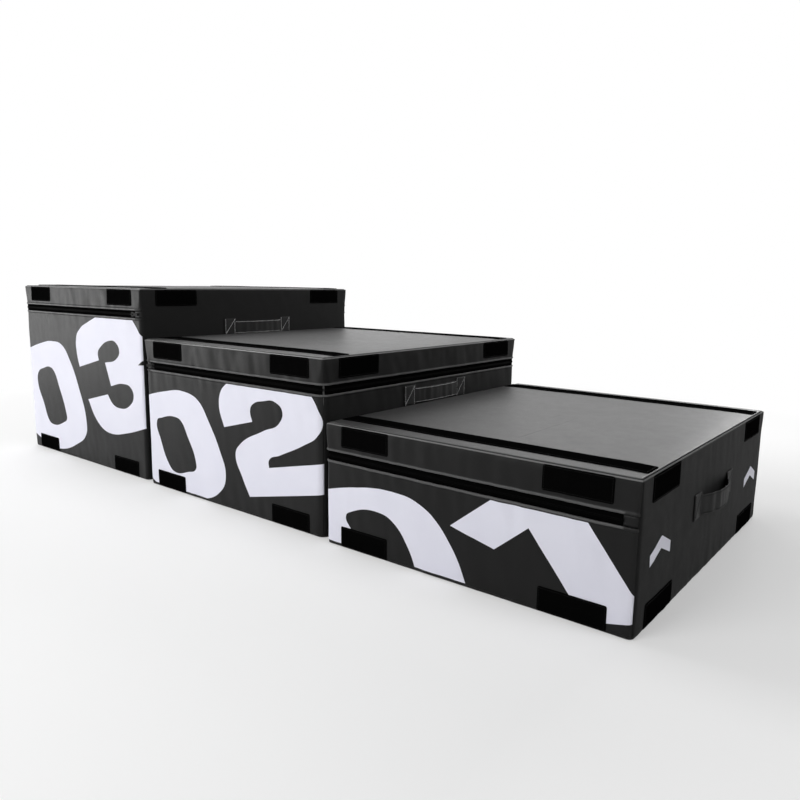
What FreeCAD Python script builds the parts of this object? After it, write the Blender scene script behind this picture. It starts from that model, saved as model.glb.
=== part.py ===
"""A set of three soft plyo boxes, low, middle and tall, standing side by side.

Each box is a foam block in a sewn vinyl cover. The cover's lid is zipped on three sides and
folds back on the seam of the fourth. Strap handles sit on the two long sides, and hook-and-loop
strips and patches hold the boxes together when they are stacked. Sizes are in millimetres.
"""
import FreeCAD, Part
import math
import os
import re
import Sketcher
from FreeCAD import Placement, Rotation, Vector

SIZES = {
    # the set: footprint, heights, and how the boxes stand beside each other
    "box_width": 760,
    "box_depth": 915,
    "low_height": 300,
    "middle_height": 450,
    "tall_height": 600,
    "low_middle_gap": 18,
    "middle_tall_gap": 24,
    "middle_setback": 10,
    "tall_setback": 18,
    # the cover and the foam in it
    "cover_thick": 3,
    "corner_radius": 8,
    "core_clearance": 0.5,
    "lid_clearance": 0.3,
    # the zip round three sides
    "zip_drop": 68,
    "zip_height": 22,
    "zip_end_inset": 32,
    "tape_thick": 1.2,
    "tape_recess": 0.9,
    # hook-and-loop strips on top and base
    "strip_width": 55,
    "strip_inset": 45,
    "strip_end_inset": 8,
    "strip_thick": 2,
    # hook-and-loop patches on the sides
    "front_patch_width": 140,
    "front_patch_inset": 50,
    "side_patch_width": 150,
    "side_patch_inset": 52,
    "patch_height": 50,
    "patch_drop": 4,
    "patch_lift": 3,
    "patch_thick": 1.5,
    # strap handles
    "handle_length": 295,
    "handle_height": 56,
    "handle_tab": 46,
    "handle_drop": 100,
    "strap_thick": 2.5,
    "outer_bow": 22,
    "inner_bow": 8,
    # zip slider with its crown, and the pull that swings in the crown
    "slider_length": 14,
    "slider_height": 15,
    "slider_plate": 2,
    "slider_clearance": 0.3,
    "slider_inset": 12,
    "crown_length": 9.6,
    "crown_width": 2.4,
    "crown_post": 1.6,
    "crown_bar": 1.2,
    "crown_gap": 3,
    "pull_length": 30,
    "pull_height": 9,
    "pull_thick": 1.6,
    "pull_leg": 1.6,
    "eye_length": 5.8,
    "eye_height": 4.2,
}

doc = FreeCAD.newDocument("plyo_boxes")
sheet = doc.addObject("Spreadsheet::Sheet", "sizes")
for row, (alias, value) in enumerate(SIZES.items(), start=1):
    sheet.set(f"A{row}", alias)
    sheet.set(f"B{row}", str(value))
    sheet.setAlias(f"B{row}", alias)
doc.recompute()

nodes = []


def size(alias):
    """One driving dimension, read from the sheet."""
    return float(sheet.get(alias))


def rule(text):
    """A formula on the sheet's names, written as the document's expression."""
    return re.sub(r"[a-z_]+", r"sizes.\g<0>", text)


def bind(item, prop, text):
    item.setExpression(prop, rule(text))


def node(item, label):
    """Name a finished sub-part, so that it is checked and written."""
    item.Label = label
    nodes.append(item)
    return item


class Box:
    """Where one box stands, which way its lid opens and what is on it.

    In a box's own frame the lid's hinge is on +X and the zipped side on -X. A turned box has its
    hinge on the left of the set.
    """

    def __init__(self, name, height, centre_x, centre_y, turned, slider_face, hinge_bow, zipped_bow):
        self.name = name
        self.height = height
        self.centre_x = centre_x
        self.centre_y = centre_y
        self.turned = turned
        self.hinge_side, self.zipped_side = ("left", "right") if turned else ("right", "left")
        self.slider_face = slider_face
        self.hinge_bow = hinge_bow
        self.zipped_bow = zipped_bow
        self.zip_top = f"{height} - zip_drop"
        self.zip_foot = f"{height} - zip_drop - zip_height"
        self.zip_middle = f"{height} - zip_drop - zip_height / 2"
        self.lid_underside = f"{height} - cover_thick"

    def place(self, item, x, y, z, turn=0):
        """Put an item at a point of the box's own frame, turned about Z."""
        way = -1 if self.turned else 1
        turn_in_set = turn + (180 if self.turned else 0)
        item.Placement = Placement(Vector(), Rotation(Vector(0, 0, 1), turn_in_set))
        bind(item, "Placement.Base.x", f"{self.centre_x} + {way} * ({x})")
        bind(item, "Placement.Base.y", f"{self.centre_y} + {way} * ({y})")
        bind(item, "Placement.Base.z", z)
        return item

    def block(self, x, y, z, length, width, height):
        """A straight block from its lowest corner in the box's own frame."""
        item = doc.addObject("Part::Box", "block")
        bind(item, "Length", length)
        bind(item, "Width", width)
        bind(item, "Height", height)
        return self.place(item, x, y, z)

    def label(self, part):
        return f"{self.name}_{part}"

    def seen_in_set(self, face):
        """The side of the set on which a face of the box's own frame lies."""
        opposite = {"front": "back", "back": "front"}
        return opposite[face] if self.turned else face


def fused(pieces):
    item = doc.addObject("Part::MultiFuse", "fused")
    item.Shapes = pieces
    item.Refine = True
    return item


def cut(base, tool):
    item = doc.addObject("Part::Cut", "cut")
    item.Base = base
    item.Tool = tool
    return item


def group(pieces):
    """Like pieces that stay separate solids in one node."""
    item = doc.addObject("Part::Compound", "group")
    item.Links = pieces
    return item


def plan_sketch(body):
    """An empty sketch on the body's own ground plane."""
    plane = next(feature for feature in body.Origin.OriginFeatures if feature.Role == "XY_Plane")
    sketch = body.newObject("Sketcher::SketchObject", "plan")
    sketch.AttachmentSupport = [(plane, "")]
    sketch.MapMode = "FlatFace"
    return sketch


def line(x_start, y_start, x_end, y_end):
    return Part.LineSegment(Vector(x_start, y_start, 0), Vector(x_end, y_end, 0))


def arc(x, y, radius, start_deg, end_deg):
    circle = Part.Circle(Vector(x, y, 0), Vector(0, 0, 1), radius)
    return Part.ArcOfCircle(circle, math.radians(start_deg), math.radians(end_deg))


def named_limit(sketch, name, text, kind, *elements):
    """A dimension of the sketch that follows the sheet."""
    index = sketch.addConstraint(Sketcher.Constraint(kind, *elements))
    sketch.renameConstraint(index, name)
    bind(sketch, f"Constraints.{name}", text)


def padded_up(body, sketch, height):
    pad = body.newObject("PartDesign::Pad", "pad")
    pad.Profile = sketch
    bind(pad, "Length", height)
    body.Tip = pad
    return body


START, END, CENTRE = 1, 2, 3
ORIGIN = -1


def rounded_slab(length, depth, radius, height):
    """A slab with rounded corners in plan, centred on its own origin."""
    body = doc.addObject("PartDesign::Body", "slab")
    sketch = plan_sketch(body)
    corner = size("corner_radius")
    half_x = size("box_width") / 2 - corner
    half_y = size("box_depth") / 2 - corner
    sketch.addGeometry([
        line(-half_x, -half_y - corner, half_x, -half_y - corner),
        arc(half_x, -half_y, corner, -90, 0),
        line(half_x + corner, -half_y, half_x + corner, half_y),
        arc(half_x, half_y, corner, 0, 90),
        line(half_x, half_y + corner, -half_x, half_y + corner),
        arc(-half_x, half_y, corner, 90, 180),
        line(-half_x - corner, half_y, -half_x - corner, -half_y),
        arc(-half_x, -half_y, corner, 180, 270),
    ])
    sides = 8
    for side in range(sides):
        sketch.addConstraint(Sketcher.Constraint("Tangent", side, END, (side + 1) % sides, START))
    for side in (0, 4):
        sketch.addConstraint(Sketcher.Constraint("Horizontal", side))
    for side in (2, 6):
        sketch.addConstraint(Sketcher.Constraint("Vertical", side))
    for side in (1, 3, 5):
        sketch.addConstraint(Sketcher.Constraint("Equal", side, side + 2))
    sketch.addConstraint(Sketcher.Constraint("Symmetric", 7, CENTRE, 3, CENTRE, ORIGIN, START))
    named_limit(sketch, "straight_x", f"{length} - 2 * ({radius})", "DistanceX", 0, START, 0, END,
                2 * half_x)
    named_limit(sketch, "straight_y", f"{depth} - 2 * ({radius})", "DistanceY", 2, START, 2, END,
                2 * half_y)
    named_limit(sketch, "corner", radius, "Radius", 1, corner)
    return padded_up(body, sketch, height)


def side_wall(radius, thick, height):
    """A side panel that turns both corners: its outer face is on the plane x = 0, facing +X."""
    body = doc.addObject("PartDesign::Body", "side_wall")
    sketch = plan_sketch(body)
    outer = size("corner_radius")
    wall = size("cover_thick")
    inner = outer - wall
    half = size("box_depth") / 2 - outer
    sketch.addGeometry([
        line(0, -half, 0, half),
        arc(-outer, half, outer, 0, 90),
        line(-outer, half + outer, -outer, half + inner),
        arc(-outer, half, inner, 0, 90),
        line(-wall, half, -wall, -half),
        arc(-outer, -half, inner, -90, 0),
        line(-outer, -half - inner, -outer, -half - outer),
        arc(-outer, -half, outer, -90, 0),
    ])
    for first, first_end, second, second_end in (
            (0, END, 1, START), (7, END, 0, START), (3, START, 4, START), (4, END, 5, END)):
        sketch.addConstraint(Sketcher.Constraint("Tangent", first, first_end, second, second_end))
    for first, first_end, second, second_end in (
            (1, END, 2, START), (2, END, 3, END), (5, START, 6, START), (6, END, 7, START),
            (1, CENTRE, 3, CENTRE), (5, CENTRE, 7, CENTRE)):
        sketch.addConstraint(Sketcher.Constraint("Coincident", first, first_end, second, second_end))
    for straight in (0, 2, 4, 6):
        sketch.addConstraint(Sketcher.Constraint("Vertical", straight))
    for arc_side, cap in ((1, 2), (7, 6)):
        sketch.addConstraint(Sketcher.Constraint("PointOnObject", arc_side, CENTRE, cap))
    sketch.addConstraint(Sketcher.Constraint("Equal", 1, 7))
    sketch.addConstraint(Sketcher.Constraint("Symmetric", 0, START, 0, END, ORIGIN, START))
    named_limit(sketch, "straight", "box_depth - 2 * corner_radius", "DistanceY", 0, START, 0, END,
                2 * half)
    named_limit(sketch, "corner", radius, "Radius", 1, outer)
    named_limit(sketch, "wall", thick, "DistanceX", 4, START, 0, END, wall)
    return padded_up(body, sketch, height)


def foam_and_base(box):
    """The foam block stands on the base panel, which carries two hook strips let in flush."""
    core = rounded_slab("box_width - 2 * (cover_thick + core_clearance)",
                        "box_depth - 2 * (cover_thick + core_clearance)",
                        "corner_radius - cover_thick - core_clearance",
                        f"{box.height} - 2 * cover_thick - core_clearance")
    node(box.place(core, "0", "0", "cover_thick"), box.label("foam_core"))
    base = rounded_slab("box_width", "box_depth", "corner_radius", "cover_thick")
    box.place(base, "0", "0", "0")
    strips = strip_pair(box, "0")
    node(cut(base, strips), box.label("base_panel"))
    node(strips, box.label("base_strips"))


def strip_pair(box, z):
    """Two long strips, one along the front edge and one along the back."""
    start = "strip_end_inset - box_width / 2"
    length = "box_width - 2 * strip_end_inset"
    ahead = "strip_inset - box_depth / 2"
    behind = "box_depth / 2 - strip_inset - strip_width"
    return group([box.block(start, y, z, length, "strip_width", "strip_thick") for y in (ahead, behind)])


def flat_plate(box, y, x_end, z_foot, z_top):
    """A flat piece of cover on the front or back, from the zipped corner to x_end."""
    start = "corner_radius - box_width / 2"
    return box.block(start, y, z_foot, f"{x_end} - ({start})", "cover_thick", f"{z_top} - ({z_foot})")


FRONT_FACE = "-1 * box_depth / 2"
BACK_FACE = "box_depth / 2"
HINGE_FACE = "box_width / 2"
ZIPPED_FACE = "-1 * box_width / 2"
WALL_START_Y = {"front": FRONT_FACE, "back": "box_depth / 2 - cover_thick"}
HINGE_CORNER = "box_width / 2 - corner_radius"
ZIP_END = "box_width / 2 - zip_end_inset"


def walls(box):
    """The fixed walls: two flat panels, the full-height hinge side and the lower zipped side."""
    for face, y in WALL_START_Y.items():
        panel = flat_plate(box, y, HINGE_CORNER, "cover_thick", box.zip_foot)
        tongue = box.block(ZIP_END, y, box.zip_foot, "zip_end_inset - corner_radius", "cover_thick",
                           "zip_height - lid_clearance")
        node(fused([panel, tongue]), box.label(f"{box.seen_in_set(face)}_panel"))
    hinge_side = side_wall("corner_radius", "cover_thick",
                           f"{box.lid_underside} - lid_clearance - cover_thick")
    node(box.place(hinge_side, HINGE_FACE, "0", "cover_thick"), box.label(f"{box.hinge_side}_panel"))
    zipped_side = side_wall("corner_radius", "cover_thick", f"{box.zip_foot} - cover_thick")
    node(box.place(zipped_side, ZIPPED_FACE, "0", "cover_thick", turn=180),
         box.label(f"{box.zipped_side}_panel"))


def lid(box):
    """The lid: top panel, the bands above the zip on three sides, and two loop strips on top."""
    top = rounded_slab("box_width", "box_depth", "corner_radius", "cover_thick")
    node(box.place(top, "0", "0", box.lid_underside), box.label("top_panel"))
    for face, y in WALL_START_Y.items():
        band = flat_plate(box, y, f"{HINGE_CORNER} - lid_clearance", box.zip_top, box.lid_underside)
        node(band, box.label(f"{box.seen_in_set(face)}_band"))
    side_band = side_wall("corner_radius", "cover_thick", "zip_drop - cover_thick")
    node(box.place(side_band, ZIPPED_FACE, "0", box.zip_top, turn=180),
         box.label(f"{box.zipped_side}_band"))
    node(strip_pair(box, box.height), box.label("top_strips"))


def zip_tape(box, z, end_gap):
    """Half of the zip: a tape along the front, round the zipped side and along the back."""
    height = "zip_height / 2 - lid_clearance / 2"
    side_run = side_wall("corner_radius - tape_recess", "tape_thick", height)
    start = "corner_radius - box_width / 2"
    length = f"{ZIP_END} - {end_gap} - ({start})"
    arms = [box.block(start, y, z, length, "tape_thick", height)
            for y in ("tape_recess - box_depth / 2", "box_depth / 2 - tape_recess - tape_thick")]
    box.place(side_run, "tape_recess - box_width / 2", "0", z, turn=180)
    return fused([side_run] + arms)


def zip_fastener(box):
    """Two tapes, the slider that joins them and the pull that swings in the slider's crown."""
    node(zip_tape(box, box.zip_foot, "0"), box.label("zip_tape_lower"))
    node(zip_tape(box, f"{box.zip_middle} + lid_clearance / 2", "lid_clearance"),
         box.label("zip_tape_upper"))
    out = -1 if box.slider_face == "front" else 1
    x = "box_width / 2 - zip_end_inset - slider_inset"
    tape_face = f"{out} * (box_depth / 2 - tape_recess)"

    def plate(depth_start, depth, length, height, x_start):
        """A block of the slider, from its depth outside the tape's face."""
        lowest = depth_start if out > 0 else f"{depth_start} + {depth}"
        return box.block(f"{x} + {x_start}", f"{tape_face} + {out} * ({lowest})",
                         f"{box.zip_middle} - ({height}) / 2", length, depth, height)

    base = plate("slider_clearance", "slider_plate", "slider_length", "slider_height",
                 "-1 * slider_length / 2")
    face = "slider_clearance + slider_plate"
    crown = plate(face, "crown_gap + crown_bar", "crown_length", "crown_width", "-1 * crown_length / 2")
    tunnel = plate(face, "crown_gap", "crown_length - 2 * crown_post", "2 * crown_width",
                   "crown_post - crown_length / 2")
    node(fused([base, cut(crown, tunnel)]), box.label("zip_slider"))
    middle = f"{face} + crown_gap / 2"
    blade = plate(f"{middle} - pull_thick / 2", "pull_thick", "pull_length", "pull_height", "0")
    eye = plate(f"{middle} - pull_thick", "2 * pull_thick", "eye_length + pull_leg", "eye_height",
                "-1 * pull_leg / 2")
    leg = doc.addObject("Part::Cylinder", "leg")
    bind(leg, "Radius", "pull_leg / 2")
    bind(leg, "Height", "pull_height")
    box.place(leg, x, f"{tape_face} + {out} * ({middle})", f"{box.zip_middle} - pull_height / 2")
    node(fused([cut(blade, eye), leg]), box.label("zip_pull"))


def patch_rows(box, z, faces):
    """Two patches on each named face, at one height."""
    front_ends = ("front_patch_inset - box_width / 2",
                  "box_width / 2 - front_patch_inset - front_patch_width")
    side_ends = ("side_patch_inset - box_depth / 2",
                 "box_depth / 2 - side_patch_inset - side_patch_width")
    across = {"front": f"{FRONT_FACE} - patch_thick", "back": BACK_FACE}
    along = {"hinge": HINGE_FACE, "zipped": f"{ZIPPED_FACE} - patch_thick"}
    row = []
    for face in faces:
        if face in across:
            row += [box.block(x, across[face], z, "front_patch_width", "patch_thick", "patch_height")
                    for x in front_ends]
        else:
            row += [box.block(along[face], y, z, "patch_thick", "side_patch_width", "patch_height")
                    for y in side_ends]
    return row


def patches(box):
    """Loop patches round the foot of the box and round its top, for straps between stacked boxes."""
    upper = f"{box.height} - patch_drop - patch_height"
    fixed = patch_rows(box, "patch_lift", ("front", "back", "hinge", "zipped"))
    node(group(fixed + patch_rows(box, upper, ("hinge",))), box.label("body_patches"))
    node(group(patch_rows(box, upper, ("front", "back", "zipped"))), box.label("lid_patches"))


def strap_handle(bow):
    """A webbing strap whose tabs lie on the wall, and whose middle bows out between them.

    Its inner face runs along Y at x = 0. Two arcs of one radius lead from each tab to the middle.
    """
    half = size("handle_length") / 2
    span = half - size("handle_tab")
    thick = size("strap_thick")
    turn = 2 * math.atan2(bow, span)
    radius = span / (2 * math.sin(turn))

    def face_edges(out):
        """The strap's inner face, or its outer one, out from the inner, as edges from end to end."""
        foot_radius = radius - out
        crest_radius = radius + out

        def foot(angle, way):
            along = span - foot_radius * math.sin(angle)
            return Vector(radius - foot_radius * math.cos(angle), way * along, 0)

        def crest(angle):
            return Vector(bow - radius + crest_radius * math.cos(angle), crest_radius * math.sin(angle), 0)

        corners = [Vector(out, -half, 0), foot(0, -1), foot(turn, -1), foot(turn, 1), foot(0, 1),
                   Vector(out, half, 0)]
        return [
            Part.LineSegment(corners[0], corners[1]),
            Part.Arc(corners[1], foot(turn / 2, -1), corners[2]),
            Part.Arc(corners[2], crest(0), corners[3]),
            Part.Arc(corners[3], foot(turn / 2, 1), corners[4]),
            Part.LineSegment(corners[4], corners[5]),
        ]

    ends = [Part.LineSegment(Vector(0, y, 0), Vector(thick, y, 0)) for y in (-half, half)]
    edges = [edge.toShape() for edge in face_edges(0) + face_edges(thick) + ends]
    outline = Part.Wire(Part.__sortEdges__(edges))
    item = doc.addObject("Part::Feature", "strap_handle")
    item.Shape = Part.Face(outline).extrude(Vector(0, 0, size("handle_height")))
    return item


def handles(box):
    """A strap handle on each long side, below the zip."""
    foot = f"{box.height} - handle_drop - handle_height"
    node(box.place(strap_handle(size(box.hinge_bow)), HINGE_FACE, "0", foot),
         box.label(f"{box.hinge_side}_handle"))
    node(box.place(strap_handle(size(box.zipped_bow)), ZIPPED_FACE, "0", foot, turn=180),
         box.label(f"{box.zipped_side}_handle"))


LOW_X = "box_width + (low_middle_gap + middle_tall_gap) / 2"
MIDDLE_X = "(middle_tall_gap - low_middle_gap) / 2"
TALL_X = "-1 * box_width - (low_middle_gap + middle_tall_gap) / 2"

boxes = [
    Box("box_01", "low_height", LOW_X, "-1 * tall_setback / 2", False, "back", "outer_bow", "inner_bow"),
    Box("box_02", "middle_height", MIDDLE_X, "middle_setback - tall_setback / 2", True, "back",
        "inner_bow", "inner_bow"),
    Box("box_03", "tall_height", TALL_X, "tall_setback / 2", False, "front", "inner_bow", "outer_bow"),
]
for box in boxes:
    foam_and_base(box)
    walls(box)
    lid(box)
    zip_fastener(box)
    patches(box)
    handles(box)

doc.recompute()
for item in doc.Objects:
    failed = [state for state in item.State if state in ("Invalid", "Error")]
    if failed:
        raise RuntimeError(f"{item.Label} did not build: {failed}")
for item in nodes:
    if item.Shape.isNull() or not item.Shape.isValid() or not item.Shape.Solids:
        raise RuntimeError(f"{item.Label} has no valid solid")

os.makedirs("parts", exist_ok=True)
for item in nodes:
    item.Shape.exportStep(f"parts/{item.Label}.step")
print(f"{len(nodes)} pieces written")
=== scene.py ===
"""The looks of a set of three soft plyo boxes, low, middle and tall, standing side by side.

Each box is a foam block in a sewn vinyl cover, whose lid is zipped on three sides. Sizes are in metres.
"""
import math

import bmesh
import bpy
import numpy as np
from mathutils import Matrix, Vector, noise


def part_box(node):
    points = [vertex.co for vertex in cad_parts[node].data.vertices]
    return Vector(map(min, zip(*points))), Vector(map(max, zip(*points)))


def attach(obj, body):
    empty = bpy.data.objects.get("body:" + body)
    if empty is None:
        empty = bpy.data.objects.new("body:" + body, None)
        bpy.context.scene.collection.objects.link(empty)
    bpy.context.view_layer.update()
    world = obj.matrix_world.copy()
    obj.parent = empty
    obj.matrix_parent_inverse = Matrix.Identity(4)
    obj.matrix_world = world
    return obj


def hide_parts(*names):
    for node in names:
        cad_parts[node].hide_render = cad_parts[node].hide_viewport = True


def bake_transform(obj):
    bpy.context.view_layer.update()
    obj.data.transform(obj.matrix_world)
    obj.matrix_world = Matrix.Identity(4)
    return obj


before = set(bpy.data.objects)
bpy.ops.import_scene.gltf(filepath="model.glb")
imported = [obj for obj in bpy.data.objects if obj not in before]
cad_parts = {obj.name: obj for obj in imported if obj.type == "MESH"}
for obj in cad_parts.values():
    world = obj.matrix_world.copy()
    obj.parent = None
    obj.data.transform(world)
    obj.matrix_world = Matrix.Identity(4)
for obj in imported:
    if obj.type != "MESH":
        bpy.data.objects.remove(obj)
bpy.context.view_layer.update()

# The boxes
# Each box stands where the frame says. Its cover is sewn from flat panels that meet at seams on the upright
# corners, so each piece of it is a stretch of the plan's outline, drawn up a profile with soft folds on it.
FACES = ("front", "right", "back", "left")
SEAM = 0.5
CORNER_STEPS = (0.13, 0.26, 0.37, 0.44, 0.48, SEAM, 0.52, 0.56, 0.63, 0.74, 0.87)
COVER_STEP = 0.0075
TIGHTEST_TURN = 0.0008


class Outline:
    """A rectangle with rounded corners, as stations that keep their place when it grows or shrinks.

    An extra station may be set on a side, at a share of its straight length.
    """

    def __init__(self, half_x, half_y, corner, step, corner_steps, extra=None):
        self.half_x = half_x
        self.half_y = half_y
        self.corner = corner
        side, run, turn, self.seams, self.marks = [], [], [], [], {}
        for index in range(4):
            straight = 2 * ((half_x, half_y)[index % 2] - corner)
            shares = set(np.linspace(0, 1, max(2, round(straight / step)) + 1)[:-1])
            mark = (extra or {}).get(index)
            if mark is not None:
                shares.add(mark)
            for share in sorted(shares):
                if share == mark:
                    self.marks[index] = len(side)
                side.append(index)
                run.append(share)
                turn.append(math.pi / 2 * (index - 1))
            for share in (0,) + tuple(corner_steps):
                if share == SEAM:
                    self.seams.append(len(side))
                side.append(index)
                run.append(1.0)
                turn.append(math.pi / 2 * (index - 1 + share))
        self.side = np.array(side)
        self.run = np.array(run)
        self.spokes = np.stack([np.cos(turn), np.sin(turn)], 1)

    def ring(self, out, corner=None):
        """The outline moved out by a distance, or in by a negative one."""
        corner = max((self.corner if corner is None else corner) + out, TIGHTEST_TURN)
        half_x = self.half_x + out - corner
        half_y = self.half_y + out - corner
        turns = np.array([(half_x, -half_y), (half_x, half_y), (-half_x, half_y), (-half_x, -half_y)])
        before = turns[self.side - 1]
        return before + (turns[self.side] - before) * self.run[:, None] + corner * self.spokes

    def closing_faces(self, first):
        """Faces across the outline's middle line, which close it once it has shrunk to that line."""
        count = len(self.side)
        far_side = 2 if self.half_x > self.half_y else 0
        mirror = int(np.flatnonzero((self.side == far_side) & (self.run == 1.0))[0])
        across = [dict.fromkeys(index % count for index in (i, i + 1, mirror - i - 1, mirror - i))
                  for i in range(-((count - mirror) // 2), mirror // 2)]
        return [[first + index for index in corners] for corners in across if len(corners) > 2]

    def between(self, first, last):
        """The stations from one to another, round the outline."""
        count = len(self.side)
        return [(first + i) % count for i in range((last - first) % count + 1)]


EDGE_ZONE = 0.0068
WALL_CORNERS = {"01": 0.012, "02": 0.022, "03": 0.014}
TOP_CORNER_SHARE = 0.33
PANEL_FILL = 0.0016
TOP_CROWN = 0.0014
PUCKER = 0.0026
PUCKER_SPACING = 38
FINE_PUCKER_SPACING = 74
FINE_PUCKER_SHARE = 0.35
PUCKER_LEAN = 0.25
PUCKER_REACH = 0.06
LEAST_PULL = 0.12
FOOT_PULL = 0.45
HINGE_PULL = 0.3
ZIP_PULL = 0.95
PUCKER_RISE = 5
FINE_PUCKER_RISE = 6
SLACK = 0.0012
SLACK_SPACING = 8
SLACK_RISE = 7
TOP_SLACK_SHARE = 0.6
CORNER_DRAG = 0.0018
DRAG_SPACING = 26
DRAG_SLANT = (0.75, 0.65)
DRAG_REACH = 0.1
DRAG_DROP = 0.09
SEAM_DIP = 0.0008
SEAM_HALF_WIDTH = 0.0012
HINGE_BEND = (0.016, 0.105)


def face_axis(face):
    """The axis that a face runs along: 0 is X and 1 is Y."""
    return FACES.index(face) % 2


class FoamBox:
    """One box of the set: its plan, its zip, the hinge of its lid, and the folds of its cover."""

    def __init__(self, number):
        self.number = number
        self.name = f"box_{number}"
        self.lid = f"lid_{number}"
        low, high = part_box(f"{self.name}_base_panel")
        self.centre = (low + high) / 2
        self.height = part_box(f"{self.name}_top_panel")[1].z
        half = (high - low) / 2
        zipped_left = f"{self.name}_left_band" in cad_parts
        self.zipped_side, self.hinge_side = ("left", "right") if zipped_left else ("right", "left")
        self.hinge_way = 1 if zipped_left else -1
        self.hinge_x = self.centre.x + self.hinge_way * half.x
        tape_low, tape_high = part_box(f"{self.name}_zip_tape_lower")
        self.zip_foot = tape_low.z
        self.zip_middle = tape_high.z
        self.zip_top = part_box(f"{self.name}_zip_tape_upper")[1].z
        self.zip_end = tape_high.x if zipped_left else tape_low.x
        corner = WALL_CORNERS[number]
        straight = half.x - corner
        zip_share = (self.zip_end - self.centre.x + straight) / (2 * straight)
        self.plan = Outline(half.x, half.y, corner, COVER_STEP, CORNER_STEPS,
                            {0: zip_share, 2: 1 - zip_share})
        self.seed = 7.3 * int(number)
        self.weaves = {}

    def panel_stations(self, face):
        """A panel's stations, from the seam on one corner to the seam on the next."""
        index = FACES.index(face)
        return self.plan.between(self.plan.seams[index - 1], self.plan.seams[index])

    def zip_stations(self):
        """The zip's stations: along the front, round the zipped side and along the back."""
        front, back = self.plan.marks[0], self.plan.marks[2]
        return self.plan.between(back, front) if self.hinge_way > 0 else self.plan.between(front, back)

    def corner_at(self, z):
        """The radius of the upright corners: soft on the walls, and tighter where the bands meet the top."""
        share = min(1, max(0, (z - self.zip_middle) / (self.height - EDGE_ZONE - self.zip_middle)))
        return self.plan.corner * (1 - (1 - TOP_CORNER_SHARE) * share * share * (3 - 2 * share))

    def seam_dip(self, x, y, z):
        """How far a wall is drawn in beside the seam on an upright corner."""
        corner = self.corner_at(z)
        past_x = abs(x - self.centre.x) - self.plan.half_x + corner
        past_y = abs(y - self.centre.y) - self.plan.half_y + corner
        if past_x <= 0 or past_y <= 0:
            return 0.0
        gap = corner * (math.atan2(past_y, past_x) - math.pi / 4)
        return SEAM_DIP * math.exp(-(gap / SEAM_HALF_WIDTH) ** 2)

    def fold(self, x, y, z):
        """How far the cover stands off its plan: its filling, its puckers at the seams and its slack."""
        across = (x - self.centre.x) / self.plan.half_x
        along = (y - self.centre.y) / self.plan.half_y
        fill_x, fill_y = max(0, 1 - across * across), max(0, 1 - along * along)
        loose = (SLACK_SPACING * x + self.seed, SLACK_SPACING * y, SLACK_RISE * z)
        slack = SLACK * noise.noise(Vector(loose))
        if z > self.height - EDGE_ZONE:
            crown = TOP_CROWN * min(1, 4 * fill_x) * min(1, 4 * fill_y)
            return crown + TOP_SLACK_SHARE * slack * min(1, 8 * fill_x * fill_y)
        on_hinge = abs(x - self.hinge_x) < 1.2 * self.plan.corner
        rise = z / self.height
        pull = LEAST_PULL + FOOT_PULL * math.exp(-z / PUCKER_REACH)
        if on_hinge:
            pull += HINGE_PULL * math.exp((z - self.height) / PUCKER_REACH)
        elif z > self.zip_middle:
            pull = ZIP_PULL
        else:
            pull += ZIP_PULL * math.exp((z - self.zip_foot) / PUCKER_REACH)
        lean = PUCKER_LEAN * z
        broad = (PUCKER_SPACING * (x + lean), PUCKER_SPACING * (y + lean), PUCKER_RISE * z + self.seed)
        fine = (FINE_PUCKER_SPACING * x + 3, FINE_PUCKER_SPACING * y, FINE_PUCKER_RISE * z + self.seed)
        gather = noise.noise(Vector(broad)) + FINE_PUCKER_SHARE * noise.noise(Vector(fine))
        to_corner = min((1 - abs(across)) * self.plan.half_x + (1 - abs(along)) * self.plan.half_y, 1)
        below = max(0, self.zip_foot - z)
        drag = 0 if z > self.zip_foot else math.exp(-to_corner / DRAG_REACH) * math.exp(-below / DRAG_DROP)
        slant = DRAG_SPACING * (DRAG_SLANT[0] * to_corner + DRAG_SLANT[1] * z) + self.seed
        diagonal = noise.noise(Vector((slant, 3 * to_corner, 0)))
        return (PANEL_FILL * (fill_x + fill_y) * 4 * rise * (1 - rise) + PUCKER * pull * gather + slack
                + CORNER_DRAG * drag * diagonal - self.seam_dip(x, y, z))

    def surface(self, picks, out, z, push_out=1.0, push_up=0.0):
        """Points on the cover at the picked stations, moved by the folds."""
        ring = self.plan.ring(out, self.corner_at(z))
        points = []
        for pick in picks:
            x = self.centre.x + ring[pick][0]
            y = self.centre.y + ring[pick][1]
            fold = self.fold(x, y, z) if push_out or push_up else 0
            off_x, off_y = fold * push_out * self.plan.spokes[pick]
            points.append((x + off_x, y + off_y, z + fold * push_up))
        return points

    def spot(self, face, place, height, out):
        """A point on the cover as sewn, on a face at a place along X or Y and a height, and out from it."""
        axis = face_axis(face)
        half = (self.plan.half_x, self.plan.half_y)[axis]
        share = (half - self.plan.corner) / (half - self.corner_at(height))
        place = self.centre[axis] + (place - self.centre[axis]) * share
        on_lid = height > self.zip_middle and face != self.hinge_side
        return self.weaves[f"{face}_lid" if on_lid else face].spot(place, height, out)

    def top_spot(self, x, y, out=0.0):
        return Vector((x, y, self.height + out + self.fold(x, y, self.height)))

    def ride_lid(self, piece):
        """Bakes a lid piece's place into its mesh; the ends of the bend beside the hinge are worked out but
        not used.
        """
        start, end = ((self.hinge_x - self.hinge_way * inset, self.centre.y, self.height)
                      for inset in HINGE_BEND)
        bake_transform(piece)
        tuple(start)
        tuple(end)


boxes = [FoamBox(number) for number in ("01", "02", "03")]

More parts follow.
